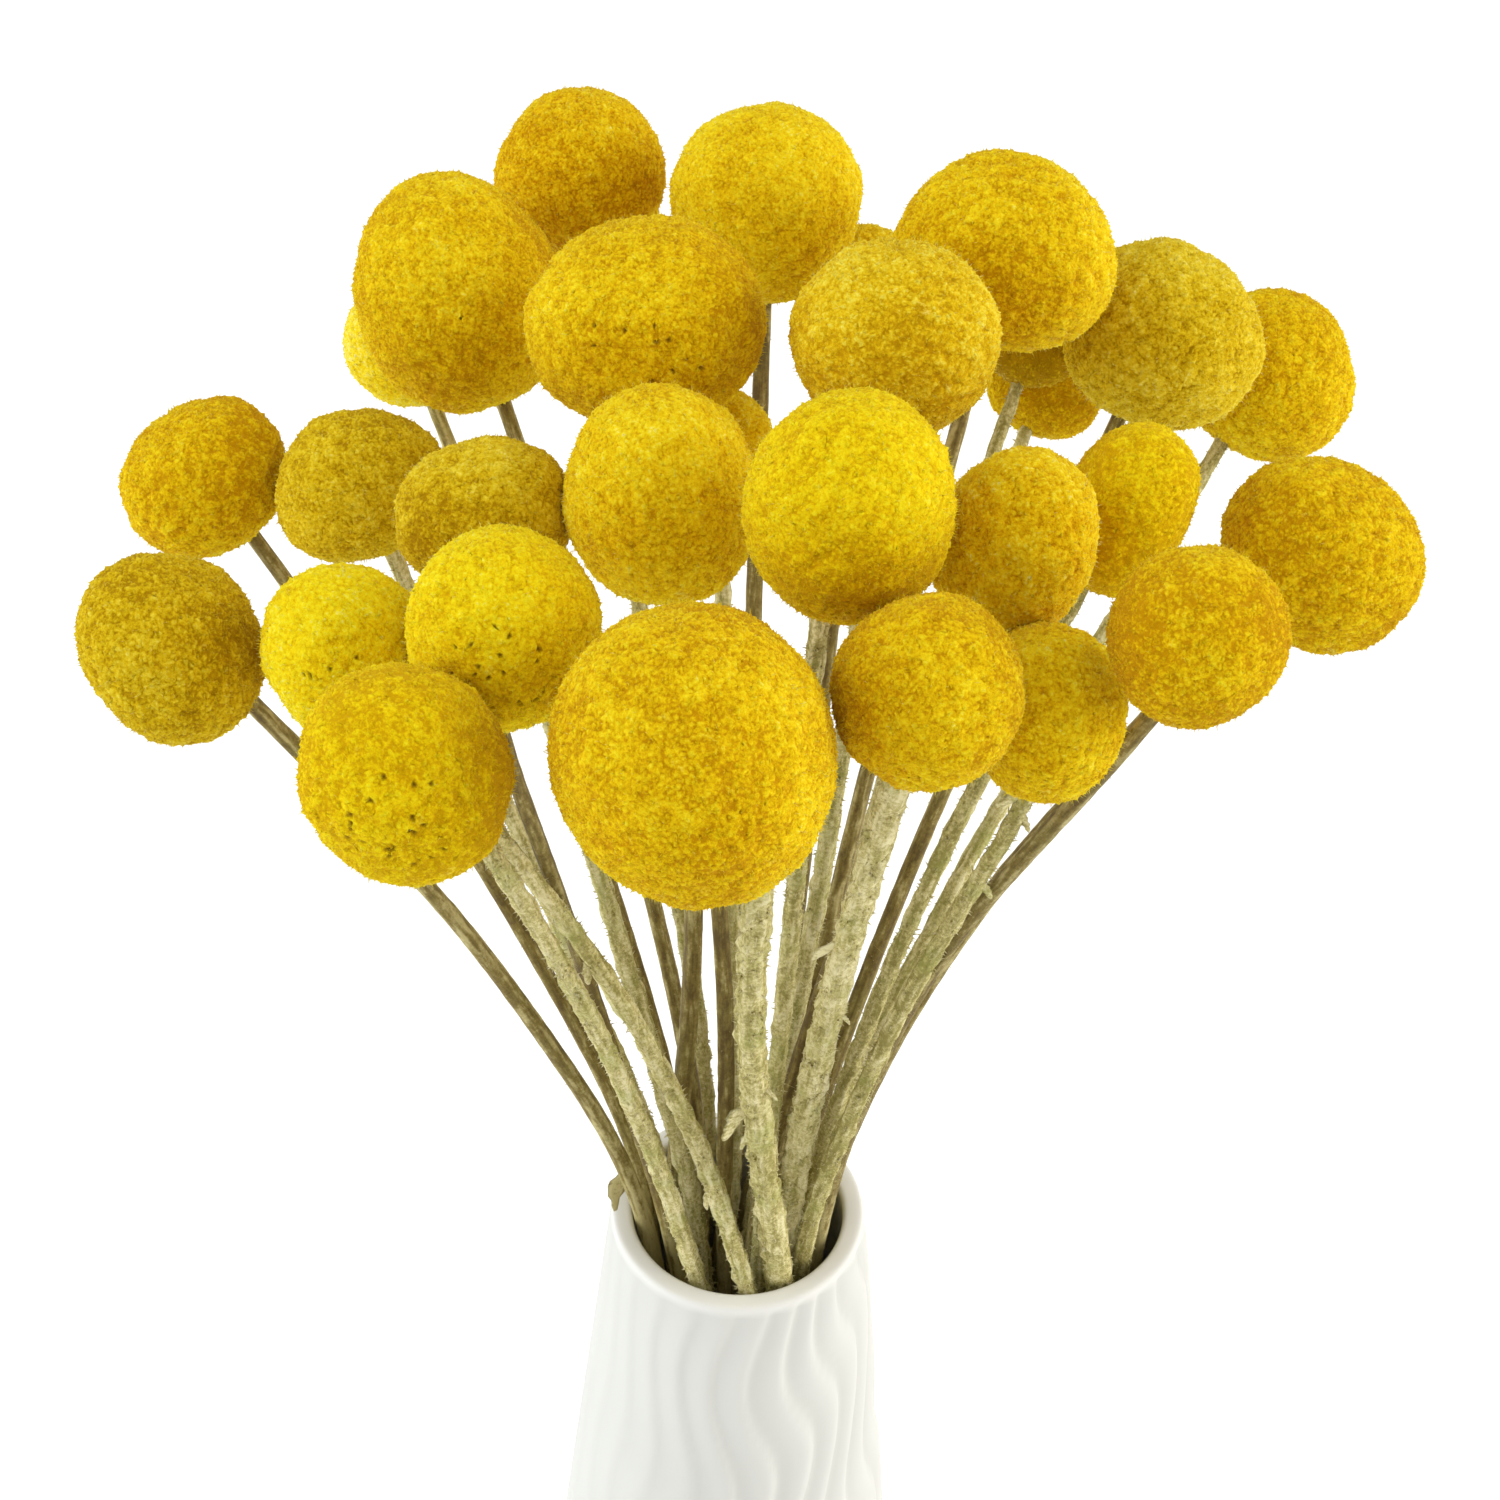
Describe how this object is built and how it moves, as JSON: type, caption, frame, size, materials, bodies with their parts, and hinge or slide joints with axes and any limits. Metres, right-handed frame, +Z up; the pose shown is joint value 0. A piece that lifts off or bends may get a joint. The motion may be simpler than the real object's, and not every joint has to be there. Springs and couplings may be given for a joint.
{
  "type": "bunch of dried globe flowers in a vase",
  "caption": "Bunch of dried yellow globe flower heads on bare stems, fanning out of a tall tapering ceramic vase with soft wavy flutes.",
  "frame": {"origin": "middle of the vase's foot, on the surface that it stands on", "axes": "+Z straight up the vase, -Y towards the front of the bunch, +X to the right seen from the front"},
  "size_m": [0.1573, 0.1513, 0.3356],
  "materials": {
    "florets_lemon": "dry woolly florets, bright lemon yellow",
    "florets_golden": "dry woolly florets, golden yellow",
    "florets_amber": "dry woolly florets, deep golden orange",
    "florets_mustard": "dry woolly florets, mustard yellow",
    "florets_pale": "dry woolly florets with whitish hairs",
    "stem_woolly": "dry, ribbed and woolly, pale khaki",
    "stem_smooth": "dry and smooth, olive brown",
    "vase": "matt white"
  },
  "bodies": {
    "root": {"vase": "vase", "head_01": "florets_amber", "head_02": "florets_golden", "head_03": "florets_golden", "head_04": "florets_mustard", "head_05": "florets_golden", "head_06": "florets_golden", "head_07": "florets_golden", "head_08": "florets_golden", "head_09": "florets_pale", "head_10": "florets_pale", "head_11": "florets_mustard", "head_12": "florets_golden", "head_13": "florets_amber", "head_14": "florets_golden", "head_15": "florets_lemon", "head_16": "florets_golden", "head_17": "florets_mustard", "head_18": "florets_mustard", "head_19": "florets_amber", "head_20": "florets_lemon", "head_21": "florets_golden", "head_22": "florets_mustard", "head_23": "florets_lemon", "head_24": "florets_lemon", "head_25": "florets_lemon", "head_26": "florets_golden", "head_27": "florets_golden", "head_28": "florets_golden", "head_29": "florets_golden", "stem_01": "stem_woolly", "stem_02": "stem_smooth", "stem_03": "stem_smooth", "stem_04": "stem_smooth", "stem_05": "stem_woolly", "stem_06": "stem_smooth", "stem_07": "stem_smooth", "stem_08": "stem_smooth", "stem_09": "stem_woolly", "stem_10": "stem_smooth", "stem_11": "stem_woolly", "stem_12": "stem_woolly", "stem_13": "stem_woolly", "stem_14": "stem_smooth", "stem_15": "stem_woolly", "stem_16": "stem_smooth", "stem_17": "stem_woolly", "stem_18": "stem_woolly", "stem_19": "stem_smooth", "stem_20": "stem_woolly", "stem_21": "stem_smooth", "stem_22": "stem_smooth", "stem_23": "stem_woolly", "stem_24": "stem_smooth", "stem_25": "stem_woolly", "stem_26": "stem_woolly", "stem_27": "stem_woolly", "stem_28": "stem_woolly", "stem_29": "stem_smooth"}
  },
  "joints": []
}
